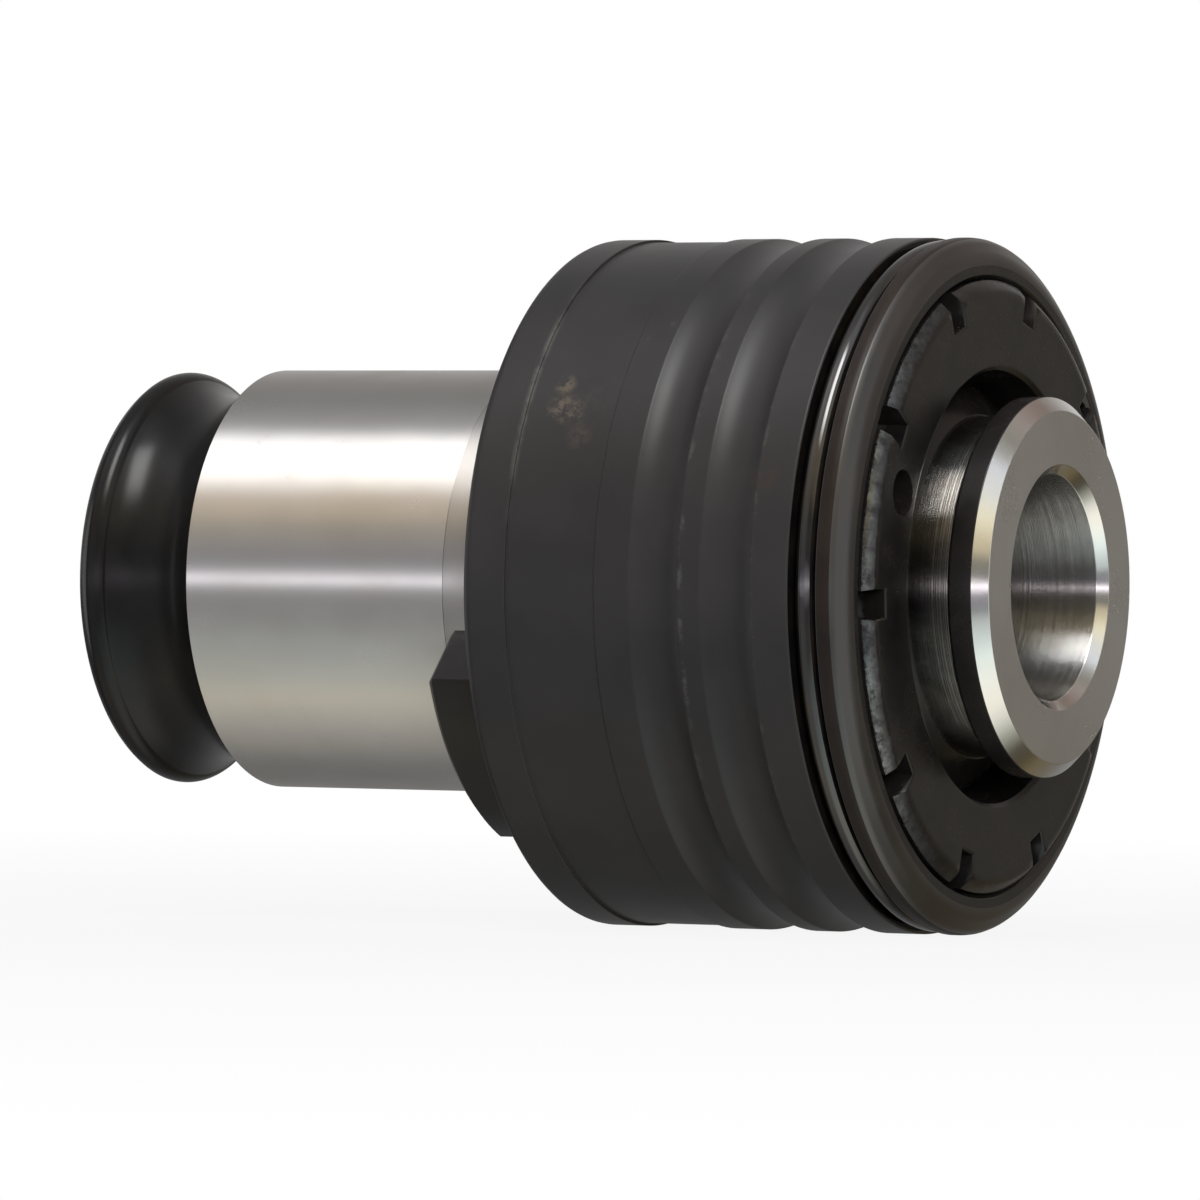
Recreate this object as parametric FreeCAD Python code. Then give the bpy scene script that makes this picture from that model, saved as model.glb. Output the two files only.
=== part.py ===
import FreeCAD, Part
import math
import os

# A quick-change tapping head with an overload clutch, lying with its axis level.
# X runs along the axis towards the nose, X = 0 is the seat face of the flange, Z is up.
# Driving sizes, in millimetres.

# shank that goes into the spindle
shank_r = 15.5
shank_len = 36.0
shank_wall = 3.5
bead_end_drop = 2.1
bead_back_drop = 0.68
bead_back_at = 0.86
bead_shoulder_drop = 0.2
bead_shoulder_at = 1.5
bead_crest_drop = 0.18
bead_crest_at = 2.05
bead_flank_drop = 0.75
bead_flank_at = 2.8
groove_drop = 1.94
ground_at = 10.0
relief_drop = 0.2
relief_len = 4.95
bore_edge = 0.6

# flange, drive lugs and cup
flange_drop = 1.6
flange_edge = 0.35
taper_len = 3.4
land_len = 1.15
cup_wall = 3.0
cup_len = 31.1
floor_t = 4.5
lug_width = 16.14
lug_drop = 5.0
lug_len = 4.5
lug_edge = 0.4
lug_angle = -45.0
rim_edge = 0.9
mouth_edge = 0.35

# bands and grip grooves on the outside of the cup, counted back from its rim
rim_len = 2.1
wire_groove_len = 2.1
wire_groove_depth = 1.7
back_rib = 2.9
grip_2_len = 3.9
middle_rib = 1.7
grip_1_len = 3.8
front_rib = 2.7
grip_depth = 0.55
band_depth = 0.2

# slotted nut that sets the clutch
nut_t = 5.5
nut_stand = 0.8
nut_play = 0.9
nut_notches = 10
notch_width = 2.0
notch_depth = 2.5
notch_angle = -3.8
nut_bevel = 0.75
nut_bore_edge = 0.35
spanner_r = 1.65
spanner_inset = 3.95
spanner_depth = 3.6
spanner_angle = 21.0
spanner_holes = 2

# spring wire that locks the nut
wire_r = 0.75
wire_gap_angle = 26.0
tip_r = 0.65
tip_stub = 0.2
tip_hole_play = 0.1

# clutch
pocket_ring_t = 3.5
pocket_ring_step = 1.0
clutch_balls = 8
clutch_ball_r = 2.5
ball_rim = 0.5
ball_outer_room = 1.5
ball_sit = 1.1
dowel_r = 1.25
dowels = 4
dowel_len = 6.0
pressure_t = 2.5
ring_play = 0.4
thrust_balls = 16
thrust_ball_r = 1.5
thrust_inset = 3.2
cage_t = 1.3
cage_rim = 1.2
race_t = 1.5
discs = 4
disc_share = 0.655
disc_play = 0.5
spring_washer_t = 1.0

# tap holder
tap_bore_r = 8.03
square = 12.1
square_len = 15.0
square_from = 10.0
knockout_r = 4.0
bush_t = 1.45
holder_flange_play = 1.0
holder_flange_t = 2.8
holder_end_inset = 0.5
holder_inset = 0.8
holder_cone_len = 1.8
holder_lip = 0.1
cavity_floor_t = 2.5
cavity_step = 0.5
tube_wall = 1.0
cone_len = 6.9
cone_rise = 0.85

# bushes, washer and circlip at the back
rear_bush_from_end = 3.0
rear_bush_len = 10.0
front_bush_len = 11.0
front_bush_inset = 1.5
washer_t = 0.8
circlip_t = 0.9
circlip_depth = 0.6
circlip_rim = 1.1
circlip_gap_angle = 40.0

# release sleeve in the nose
sleeve_play = 0.07
sleeve_wall = 4.1
nose_reach = 5.6
nose_edge = 1.0
collar_step = 1.4
collar_len = 2.9
collar_edge = 0.3
mouth_bevel = 0.7
lock_balls = 3
lock_ball_r = 2.25
lock_ball_from_back = 4.5
window_lip = 0.35
window_lip_r = 1.5
stop_ring_t = 0.8
stop_ring_from_back = 0.76
stop_ring_reach = 1.2
stop_groove_depth = 0.8
stop_ring_gap_angle = 30.0
spring_len = 5.6
spring_wire_r = 0.45
spring_pitch = 1.15
spring_inset = 1.0

# clearances
fit = 0.05
play = 0.3
touch = 0.02

# radii of the holder and the cup, worked out from the tap outwards
sleeve_bore_r = tap_bore_r + sleeve_play
neck_r = sleeve_bore_r + sleeve_wall
spring_coil_r = neck_r - spring_inset
collar_r = neck_r + collar_step
mouth_r = neck_r + fit
cone_back_r = mouth_r + cone_rise
cavity_r = cone_back_r + cavity_step
holder_tube_r = cavity_r + tube_wall
ring_bore_r = holder_tube_r + ring_play
nut_bore_r = holder_tube_r + nut_play
ball_pitch_r = ring_bore_r + ball_rim + clutch_ball_r
cup_bore_r = ball_pitch_r + clutch_ball_r + ball_outer_room
cup_r = cup_bore_r + cup_wall
flange_r = cup_r - flange_drop
lug_r = cup_r - lug_drop
holder_flange_r = cup_bore_r - holder_flange_play
nut_r = cup_bore_r - fit
ring_r = cup_bore_r - play
disc_r = cup_bore_r - disc_play
thrust_pitch_r = cup_bore_r - thrust_inset
spanner_pitch_r = nut_r - spanner_inset
wire_groove_r = cup_r - wire_groove_depth
wire_ring_r = wire_groove_r + touch + wire_r

# radii of the shank, worked out from its ground outside inwards
shank_bore_r = shank_r - shank_wall
journal_r = shank_bore_r - bush_t - fit
pocket_ring_bore_r = shank_bore_r + pocket_ring_step

# places along the axis, outside
wire_groove_to = cup_len - rim_len
wire_groove_from = wire_groove_to - wire_groove_len
grip_2_to = wire_groove_from - back_rib
grip_2_from = grip_2_to - grip_2_len
grip_1_to = grip_2_from - middle_rib
grip_1_from = grip_1_to - grip_1_len
band_to = grip_1_from - front_rib
band_from = flange_edge + taper_len + land_len
wire_x = (wire_groove_from + wire_groove_to) / 2
tip_angle = notch_angle + 180.0

# places along the axis, clutch from the cup's floor forwards and nut from its rim back
pocket_face = floor_t + pocket_ring_t
holder_back_face = pocket_face + ring_play
holder_front_face = holder_back_face + holder_flange_t
ball_x = pocket_face + ball_sit
pressure_back = ball_x + clutch_ball_r + touch
thrust_x = pressure_back + pressure_t + thrust_ball_r + touch
race_back = thrust_x + thrust_ball_r + touch
springs_back = race_back + race_t + touch
nut_front = cup_len + nut_stand
nut_back = nut_front - nut_t
washer_back = nut_back - spring_washer_t
spring_room = washer_back - springs_back
disc_pitch = spring_room / discs
disc_t = disc_share * disc_pitch
disc_rise = disc_pitch - disc_t - touch

# places along the axis, holder and sleeve
holder_front = cup_len - holder_inset
holder_end = -shank_len + holder_end_inset
cavity_floor = holder_back_face + cavity_floor_t
nose_x = cup_len + nose_reach
sleeve_back = cavity_floor + spring_len
lock_ball_x = sleeve_back + lock_ball_from_back
lock_pitch_r = sleeve_bore_r + touch + lock_ball_r
stop_ring_x = sleeve_back + stop_ring_from_back
cone_back = stop_ring_x + stop_ring_t + 2 * touch
rear_bush_back = -shank_len + rear_bush_from_end
circlip_x = rear_bush_back - 3 * touch - washer_t - circlip_t

axis = FreeCAD.Vector(1, 0, 0)
origin = FreeCAD.Vector(0, 0, 0)


def point(x, r):
    return FreeCAD.Vector(x, 0, r)


# A turned solid: each step is a point (x, r), or (x, r, x, r) for an arc through the first point.
def turned(steps):
    edges = []
    here = steps[0]
    for step in steps[1:] + [steps[0]]:
        end = step[-2:]
        if len(step) == 4:
            edges.append(Part.Arc(point(*here), point(*step[:2]), point(*end)).toShape())
        else:
            edges.append(Part.LineSegment(point(*here), point(*end)).toShape())
        here = end
    face = Part.Face(Part.Wire(edges))
    solid = face.revolve(origin, axis, 360)
    return solid


def tube(x0, x1, r_in, r_out):
    return turned([(x0, r_in), (x0, r_out), (x1, r_out), (x1, r_in)])


def rod(x0, x1, r, y=0.0, z=0.0):
    return Part.makeCylinder(r, x1 - x0, FreeCAD.Vector(x0, y, z), axis)


# Angles are seen from the side that faces the viewer: 0 points along -Y, 90 points up.
def turn_to(shape, angle):
    copy = shape.copy()
    copy.rotate(origin, axis, -angle)
    return copy


def around(shape, count, start=0.0):
    return [turn_to(shape, start + 360.0 * i / count) for i in range(count)]


def fused(shapes):
    return shapes[0].multiFuse(shapes[1:]) if len(shapes) > 1 else shapes[0]


def wedge(angle, x0, x1, r):
    half = math.radians(angle / 2)
    reach = r / math.cos(half)
    corners = [
        FreeCAD.Vector(x0, 0, 0),
        FreeCAD.Vector(x0, -reach * math.cos(half), reach * math.sin(half)),
        FreeCAD.Vector(x0, -reach * math.cos(half), -reach * math.sin(half)),
        FreeCAD.Vector(x0, 0, 0),
    ]
    return Part.Face(Part.makePolygon(corners)).extrude(FreeCAD.Vector(x1 - x0, 0, 0))


# A chord-sagging arc from (x0, r) to (x1, r) that dips by depth half way.
def dip(x0, x1, r, depth):
    return ((x0 + x1) / 2, r - depth, x1, r)


# The back end of the shank: a bead that rounds over its crest and runs out in a hollow before the ground part.
def shank_outline():
    def at(distance, drop):
        return (-shank_len + distance, shank_r - drop)

    groove_mid = (bead_flank_at + ground_at) / 2
    return [
        (-shank_len, shank_bore_r + bore_edge),
        at(0, bead_end_drop),
        at(bead_back_at, bead_back_drop) + at(bead_shoulder_at, bead_shoulder_drop),
        at(bead_crest_at, bead_crest_drop) + at(bead_flank_at, bead_flank_drop),
        at(groove_mid, groove_drop) + at(ground_at, 0),
        (-relief_len, shank_r),
        (-relief_len, shank_r - relief_drop),
        (0, shank_r - relief_drop),
    ]


def cup_outline():
    band_r = cup_r - band_depth
    return [
        (0, flange_r - flange_edge),
        (0.3 * flange_edge, flange_r - 0.3 * flange_edge, flange_edge, flange_r),
        (flange_edge + taper_len, cup_r),
        (band_from, cup_r),
        (band_from, band_r),
        (band_to, band_r),
        (band_to, cup_r),
        (grip_1_from, cup_r),
        dip(grip_1_from, grip_1_to, cup_r, grip_depth),
        (grip_2_from, cup_r),
        dip(grip_2_from, grip_2_to, cup_r, grip_depth),
        (wire_groove_from, cup_r),
        (wire_groove_from, wire_groove_r),
        (wire_groove_to, wire_groove_r),
        (wire_groove_to, cup_r),
        (cup_len - rim_edge, cup_r),
        (cup_len - 0.3 * rim_edge, cup_r - 0.3 * rim_edge, cup_len, cup_r - rim_edge),
        (cup_len, cup_bore_r + mouth_edge),
        (cup_len - mouth_edge, cup_bore_r),
        (floor_t, cup_bore_r),
        (floor_t, shank_bore_r),
        (-shank_len + bore_edge, shank_bore_r),
    ]


# One drive lug, pointing along -Y, cut back to a circle outside and bevelled at its free end.
def drive_lug():
    corner = FreeCAD.Vector(-lug_len, -lug_r - 1.0, -lug_width / 2)
    block = Part.makeBox(lug_len + 1.0, lug_r + 1.0, lug_width, corner)
    trim = turned([
        (-lug_len, shank_bore_r + 1.0),
        (-lug_len, lug_r - lug_edge),
        (-lug_len + lug_edge, lug_r),
        (1.0, lug_r),
        (1.0, shank_bore_r + 1.0),
    ])
    return block.common(trim)


def dowel_places(x0, x1, r):
    shape = rod(x0, x1, r, y=-ball_pitch_r)
    return around(shape, dowels, 180.0 / clutch_balls)


def wire_tip(r, inner, outer):
    leg = Part.makeCylinder(r, outer - inner, FreeCAD.Vector(wire_x, -inner, 0), FreeCAD.Vector(0, -1, 0))
    return turn_to(leg, tip_angle)


def shank_body():
    body = turned(shank_outline() + cup_outline())
    body = body.fuse(around(drive_lug(), 2, lug_angle)).removeSplitter()
    body = body.cut(dowel_places(floor_t - dowel_len / 2, floor_t + 1.0, dowel_r + touch))
    body = body.cut(wire_tip(tip_r + tip_hole_play, cup_bore_r - 1.0, cup_r))
    return body


def pocket_ring():
    ring = tube(floor_t, pocket_face, pocket_ring_bore_r, ring_r)
    depth = clutch_ball_r * math.sqrt(2.0) - ball_sit + touch
    tip = FreeCAD.Vector(pocket_face - depth, -ball_pitch_r, 0)
    pocket = Part.makeCone(0, depth + 1.0, depth + 1.0, tip, axis)
    ring = ring.cut(around(pocket, clutch_balls))
    return ring.cut(dowel_places(floor_t - 1.0, pocket_face + 1.0, dowel_r + touch))


def dowel_pins():
    return dowel_places(floor_t - dowel_len / 2 + touch, floor_t + dowel_len / 2, dowel_r)


def ball_set(count, r, x, pitch_r):
    ball = Part.makeSphere(r, FreeCAD.Vector(x, -pitch_r, 0), axis)
    return around(ball, count)


def tap_holder():
    groove = circlip_x
    solid = turned([
        (holder_end, knockout_r),
        (holder_end, journal_r - holder_end_inset),
        (holder_end + holder_end_inset, journal_r),
        (groove - touch, journal_r),
        (groove - touch, journal_r - circlip_depth),
        (groove + circlip_t + touch, journal_r - circlip_depth),
        (groove + circlip_t + touch, journal_r),
        (holder_back_face, journal_r),
        (holder_back_face, holder_flange_r),
        (holder_front_face, holder_flange_r),
        (holder_front_face, holder_tube_r),
        (holder_front - holder_cone_len, holder_tube_r),
        (holder_front, mouth_r + holder_lip),
        (holder_front, mouth_r),
        (cone_back + cone_len, mouth_r),
        (cone_back, cone_back_r),
        (cone_back, cavity_r),
        (cavity_floor, cavity_r),
        (cavity_floor, tap_bore_r),
        (-square_from, tap_bore_r),
        (-square_from, knockout_r),
    ])
    socket = Part.makeBox(
        square_len, square, square, FreeCAD.Vector(-square_from - square_len, -square / 2, -square / 2)
    )
    hole = rod(holder_back_face - 1.0, holder_front_face + 1.0, clutch_ball_r + fit, y=-ball_pitch_r)
    return solid.cut([socket] + around(hole, clutch_balls))


def pressure_ring():
    return tube(pressure_back, pressure_back + pressure_t, ring_bore_r, ring_r)


def thrust_cage():
    cage = tube(
        thrust_x - cage_t / 2,
        thrust_x + cage_t / 2,
        thrust_pitch_r - thrust_ball_r - cage_rim,
        thrust_pitch_r + thrust_ball_r + cage_rim,
    )
    hole = rod(thrust_x - cage_t, thrust_x + cage_t, thrust_ball_r + fit, y=-thrust_pitch_r)
    return cage.cut(around(hole, thrust_balls))


def thrust_race():
    return tube(race_back, race_back + race_t, ring_bore_r, ring_r)


# Coned discs stacked in pairs, each leaning the other way from the one before.
def disc_spring(index):
    back = springs_back + index * disc_pitch
    inner_lift = disc_rise if index % 2 == 0 else 0.0
    outer_lift = disc_rise - inner_lift
    return turned([
        (back + inner_lift, ring_bore_r),
        (back + outer_lift, disc_r),
        (back + outer_lift + disc_t, disc_r),
        (back + inner_lift + disc_t, ring_bore_r),
    ])


def spring_washer():
    return tube(washer_back, nut_back, ring_bore_r, disc_r)


def adjusting_nut():
    nut = turned([
        (nut_back, nut_bore_r),
        (nut_back, nut_r),
        (nut_front - nut_bevel, nut_r),
        (nut_front, nut_r - nut_bevel),
        (nut_front, nut_bore_r + nut_bore_edge),
        (nut_front - nut_bore_edge, nut_bore_r),
    ])
    notch = Part.makeBox(
        nut_t + 2.0, notch_depth + 1.0, notch_width,
        FreeCAD.Vector(nut_back - 1.0, -nut_r - 1.0, -notch_width / 2),
    )
    hole = rod(nut_front - spanner_depth, nut_front + 1.0, spanner_r, y=-spanner_pitch_r)
    cuts = around(notch, nut_notches, notch_angle) + around(hole, spanner_holes, spanner_angle)
    return nut.cut(cuts)


# An open ring of wire with a tip near its end that passes the cup wall and rests in a notch of the nut.
def lock_wire():
    start = FreeCAD.Vector(wire_x, -wire_ring_r, 0)
    section = Part.Face(Part.Wire(Part.makeCircle(wire_r, start, FreeCAD.Vector(0, 0, 1))))
    ring = section.revolve(origin, axis, 360.0 - wire_gap_angle)
    ring = turn_to(ring, tip_angle + math.degrees((tip_r + tip_stub) / wire_ring_r))
    return ring.fuse(wire_tip(tip_r, nut_r - notch_depth + play, wire_ring_r)).removeSplitter()


def bush(x0, length):
    return tube(x0, x0 + length, journal_r + fit, shank_bore_r - touch)


def rear_washer():
    x1 = rear_bush_back - 2 * touch
    return tube(x1 - washer_t, x1, journal_r + fit, shank_bore_r - play)


def rear_circlip():
    ring = tube(circlip_x, circlip_x + circlip_t, journal_r - circlip_depth + touch, journal_r + circlip_rim)
    gap = wedge(circlip_gap_angle, circlip_x - 1.0, circlip_x + circlip_t + 1.0, journal_r + circlip_rim + 1.0)
    return ring.cut(turn_to(gap, 90.0))


def release_sleeve():
    collar_back = nose_x - collar_len
    solid = turned([
        (sleeve_back, sleeve_bore_r),
        (sleeve_back, neck_r),
        (stop_ring_x - touch, neck_r),
        (stop_ring_x - touch, neck_r - stop_groove_depth),
        (stop_ring_x + stop_ring_t + touch, neck_r - stop_groove_depth),
        (stop_ring_x + stop_ring_t + touch, neck_r),
        (collar_back, neck_r),
        (collar_back, collar_r - collar_edge),
        (collar_back + collar_edge, collar_r),
        (nose_x - nose_edge, collar_r),
        (nose_x, collar_r - nose_edge),
        (nose_x, sleeve_bore_r + mouth_bevel),
        (nose_x - mouth_bevel, sleeve_bore_r),
    ])
    lip_r = sleeve_bore_r + window_lip
    out = FreeCAD.Vector(0, -1, 0)
    window = Part.makeCylinder(lock_ball_r + fit, neck_r, FreeCAD.Vector(lock_ball_x, -lip_r, 0), out)
    lip = Part.makeCylinder(window_lip_r, neck_r, FreeCAD.Vector(lock_ball_x, -sleeve_bore_r + 1.0, 0), out)
    return solid.cut(around(window, lock_balls) + around(lip, lock_balls))


def stop_ring():
    x0 = stop_ring_x
    stop_ring_r = neck_r + stop_ring_reach
    ring = tube(x0, x0 + stop_ring_t, neck_r - stop_groove_depth + touch, stop_ring_r)
    gap = wedge(stop_ring_gap_angle, x0 - 1.0, x0 + stop_ring_t + 1.0, stop_ring_r + 1.0)
    return ring.cut(gap)


# Half a turn of a coil, from above the axis to below it or back up, ending half a pitch further on.
def half_turn(x, pitch, side):
    top = FreeCAD.Vector(x, 0, side * spring_coil_r)
    middle = FreeCAD.Vector(x + pitch / 4, 0, 0)
    lean = FreeCAD.Vector(2 * spring_coil_r, 0, side * pitch / 2)
    section = Part.Face(Part.Wire(Part.makeCircle(spring_wire_r, top, FreeCAD.Vector(0, 1, 0))))
    return section.revolve(middle, lean, 180)


# A coil of round wire between the floor of the holder's cavity and the back of the sleeve.
def release_spring():
    low = cavity_floor + touch + spring_wire_r
    high = sleeve_back - touch - spring_wire_r
    halves = int((high - low) // (spring_pitch / 2))
    pitch = 2 * (high - low) / halves
    turns = [half_turn(low + i * pitch / 2, pitch, 1 - 2 * (i % 2)) for i in range(halves)]
    return fused(turns).removeSplitter()


def export(name, shape):
    solids = shape if isinstance(shape, list) else [shape]
    for solid in solids:
        if not solid.isValid() or solid.Volume <= 0:
            raise ValueError(name + " is not a sound solid")
    joined = Part.makeCompound(solids) if len(solids) > 1 else solids[0]
    joined.exportStep("parts/" + name + ".step")
    print(name, len(joined.Solids), round(joined.Volume, 1))


def main():
    os.makedirs("parts", exist_ok=True)
    export("shank_body", shank_body())
    export("rear_bush", bush(rear_bush_back, rear_bush_len))
    export("front_bush", bush(floor_t - front_bush_inset - front_bush_len, front_bush_len))
    export("pocket_ring", pocket_ring())
    export("dowel_pins", dowel_pins())
    export("tap_holder", tap_holder())
    export("clutch_balls", ball_set(clutch_balls, clutch_ball_r, ball_x, ball_pitch_r))
    export("pressure_ring", pressure_ring())
    export("thrust_cage", thrust_cage())
    export("thrust_balls", ball_set(thrust_balls, thrust_ball_r, thrust_x, thrust_pitch_r))
    export("thrust_race", thrust_race())
    for index in range(discs):
        export("disc_spring_" + str(index + 1), disc_spring(index))
    export("spring_washer", spring_washer())
    export("adjusting_nut", adjusting_nut())
    export("lock_wire", lock_wire())
    export("rear_washer", rear_washer())
    export("rear_circlip", rear_circlip())
    export("release_sleeve", release_sleeve())
    export("locking_balls", ball_set(lock_balls, lock_ball_r, lock_ball_x, lock_pitch_r))
    export("stop_ring", stop_ring())
    export("release_spring", release_spring())


main()
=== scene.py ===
import math

import bpy
import numpy as np
from mathutils import Matrix, Vector


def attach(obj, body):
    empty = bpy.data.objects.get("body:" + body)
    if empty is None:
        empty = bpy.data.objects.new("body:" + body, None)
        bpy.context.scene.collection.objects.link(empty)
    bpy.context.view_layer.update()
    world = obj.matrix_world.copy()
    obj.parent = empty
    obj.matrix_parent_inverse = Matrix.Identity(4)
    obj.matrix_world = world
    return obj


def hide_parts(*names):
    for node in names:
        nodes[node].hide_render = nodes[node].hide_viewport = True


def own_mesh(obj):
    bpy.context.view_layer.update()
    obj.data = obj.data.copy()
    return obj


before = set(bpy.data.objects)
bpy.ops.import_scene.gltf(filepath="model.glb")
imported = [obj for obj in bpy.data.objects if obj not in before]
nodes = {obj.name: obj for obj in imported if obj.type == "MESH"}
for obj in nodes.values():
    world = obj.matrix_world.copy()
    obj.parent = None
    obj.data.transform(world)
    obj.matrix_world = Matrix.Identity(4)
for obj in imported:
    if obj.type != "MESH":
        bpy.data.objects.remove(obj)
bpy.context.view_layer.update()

mm = 0.001
print("frame loaded:", len(nodes), "CAD nodes")

# X runs along the axis to the nose. Angles are seen by the camera: 0 points along -Y, 90 points up.
# Lengths in the dictionaries are millimetres. In an outline each corner is (x, r, radius of its rounding).
flowing = 1e3  # a rounding so large that the short sides of an arc flow into each other
creaseAngle = 30.0  # faces that meet at more than this keep a sharp edge


# Corner points (x, r, radius) of a closed outline, each corner rounded by its radius, as points and outward normals.
# The arc starts at radius * tan(turn / 2) before the corner, but no further back than a share of the shorter side.
def roundOff(corners, steps=5):
    c = np.array(corners, float)
    p = c[:, :2]
    before = p - np.roll(p, 1, 0)
    after = np.roll(p, -1, 0) - p
    lenBefore = np.hypot(*before.T)
    lenAfter = np.hypot(*after.T)
    a = before / lenBefore[:, None]
    b = after / lenAfter[:, None]
    turn = np.arctan2(a[:, 0] * b[:, 1] - a[:, 1] * b[:, 0], (a * b).sum(1))
    half = np.tan(np.abs(turn) / 2)
    shareOfSide, tiny = 0.49, 1e-9
    reach = np.minimum(c[:, 2] * half, shareOfSide * np.minimum(lenBefore, lenAfter))
    radius = reach / np.maximum(half, tiny)
    side = np.sign(turn)
    left = np.stack([-a[:, 1], a[:, 0]], 1)
    centre = p - a * reach[:, None] + left * (side * radius)[:, None]
    s = np.linspace(0, 1, steps)[None, :] * turn[:, None]
    cos, sin = np.cos(s), np.sin(s)
    nx = left[:, 0:1] * cos - left[:, 1:2] * sin
    nr = left[:, 0:1] * sin + left[:, 1:2] * cos
    x = centre[:, 0:1] - (side * radius)[:, None] * nx
    r = centre[:, 1:2] - (side * radius)[:, None] * nr
    return np.stack([x.ravel(), r.ravel()], 1), np.stack([nx.ravel(), nr.ravel()], 1)


# Points on the circle through three points, from the first to the last, both ends left out.
def arcCorners(p0, pm, p1, count):
    (ax, ay), (bx, by), (cx, cy) = p0, pm, p1
    d = 2 * (ax * (by - cy) + bx * (cy - ay) + cx * (ay - by))
    a2, b2, c2 = ax * ax + ay * ay, bx * bx + by * by, cx * cx + cy * cy
    ux = (a2 * (by - cy) + b2 * (cy - ay) + c2 * (ay - by)) / d
    uy = (a2 * (cx - bx) + b2 * (ax - cx) + c2 * (bx - ax)) / d
    start, mid, end = (math.atan2(y - uy, x - ux) for x, y in (p0, pm, p1))
    turn = (end - start + math.pi) % (2 * math.pi) - math.pi
    if (mid - start) * turn < 0 and abs(mid - start) < math.pi:
        turn -= math.copysign(2 * math.pi, turn)
    t = start + turn * np.arange(1, count + 1) / (count + 1)
    radius = math.hypot(ax - ux, ay - uy)
    return [(x, y, flowing) for x, y in np.stack([ux + radius * np.cos(t), uy + radius * np.sin(t)], 1)]


# Quads between the points of a grid, with its last row or column joined to its first where they close.
def gridQuads(rows, columns, closeRows=True, closeColumns=True):
    i = np.arange(rows if closeRows else rows - 1)[:, None]
    j = np.arange(columns if closeColumns else columns - 1)[None, :]
    i2, j2 = (i + 1) % rows, (j + 1) % columns
    return np.stack([i * columns + j, i2 * columns + j, i2 * columns + j2, i * columns + j2], -1).reshape(-1, 4)


# The faces of a closed tube: quads between its rows, and one polygon at each end.
def tubeFaces(rows, columns):
    quads = gridQuads(rows, columns, closeRows=False)[:, ::-1].tolist()
    return quads + [list(range(columns)), list(range((rows - 1) * columns, rows * columns))[::-1]]


# Vertices in millimetres and polygons as index rows become an object in metres.
def putMesh(name, verts, polygons, normals=None, angle=None):
    mesh = bpy.data.meshes.new(name)
    mesh.from_pydata((np.asarray(verts) * mm).tolist(), [], [list(p) for p in polygons])
    mesh.polygons.foreach_set("use_smooth", np.ones(len(mesh.polygons), bool))
    if normals is not None:
        mesh.normals_split_custom_set_from_vertices(np.asarray(normals).tolist())
    if angle is not None:
        mesh.set_sharp_from_angle(angle=math.radians(angle))
    mesh.update()
    obj = bpy.data.objects.new(name, mesh)
    bpy.context.scene.collection.objects.link(obj)
    return obj


# A closed outline turned about the X axis: each outline point (x, r) goes to (x, -r cos t, r sin t).
def turned(name, corners, columns, steps=5):
    outline, across = roundOff(corners, steps)
    t = np.linspace(0, 2 * math.pi, columns, endpoint=False)[None, :]
    x, r = outline[:, 0:1], outline[:, 1:2]
    verts = np.stack([x + 0 * t, -r * np.cos(t), r * np.sin(t)], -1).reshape(-1, 3)
    nx, nr = across[:, 0:1], across[:, 1:2]
    normals = np.stack([nx + 0 * t, -nr * np.cos(t), nr * np.sin(t)], -1).reshape(-1, 3)
    obj = putMesh(name, verts, gridQuads(len(outline), columns), normals)
    return obj, outline


# Places x and r in the middle of each ring of faces of a turned piece.
def ringMiddles(outline):
    return ((outline + np.roll(outline, -1, 0)) / 2).T


# Gives a turned piece its finishes, and each ring of its faces the last whose rule holds there, or else the first.
def finishRings(obj, columns, looks, rules):
    names = list(looks)
    slots = np.zeros(len(rules[0][1]), np.int32)
    for name, holds in rules:
        slots[holds] = names.index(name)
    for material in looks.values():
        obj.data.materials.append(material)
    obj.data.polygons.foreach_set("material_index", np.repeat(slots, columns))


# Cuts the tools out of a piece, takes the result as its mesh, and gives it smooth shading and its finishes.
def cutAway(obj, tools, materials):
    for tool in tools:
        cut = obj.modifiers.new("cut", "BOOLEAN")
        cut.operation = "DIFFERENCE"
        cut.solver = "EXACT"
        cut.object = tool
    bpy.context.view_layer.update()
    mesh = bpy.data.meshes.new_from_object(obj.evaluated_get(bpy.context.evaluated_depsgraph_get()))
    obj.modifiers.clear()
    obj.data = mesh
    for tool in tools:
        bpy.data.objects.remove(tool)
    mesh.polygons.foreach_set("use_smooth", np.ones(len(mesh.polygons), bool))
    mesh.set_sharp_from_angle(angle=math.radians(creaseAngle))
    mesh.materials.clear()
    for material in materials:
        mesh.materials.append(material)


# A plain drill: a closed cylinder of radius r from one point to another.
def drill(name, start, end, r, columns=48):
    start, end = Vector(start), Vector(end)
    along = (end - start).normalized()
    side = along.orthogonal().normalized()
    other = along.cross(side)
    t = np.linspace(0, 2 * math.pi, columns, endpoint=False)[:, None]
    ring = r * (np.cos(t) * np.array(side) + np.sin(t) * np.array(other))
    verts = np.concatenate([ring + np.array(start), ring + np.array(end)])
    i = np.arange(columns)
    walls = np.stack([i, (i + 1) % columns, (i + 1) % columns + columns, i + columns], 1).tolist()
    return putMesh(name, verts, walls + [i[::-1].tolist(), (i + columns).tolist()])


# The point at a radius and an angle about the X axis.
def around(r, degrees, x=0.0):
    t = math.radians(degrees)
    return x, -r * math.cos(t), r * math.sin(t)


camera = {
    "focal": 263.65, "sensor": 36.0, "near": 10.0, "distance": 643.05, "azimuth": 26.436, "roll": 0.723,
    "aim": (0.03, 0.0, -1.30),
}


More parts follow.
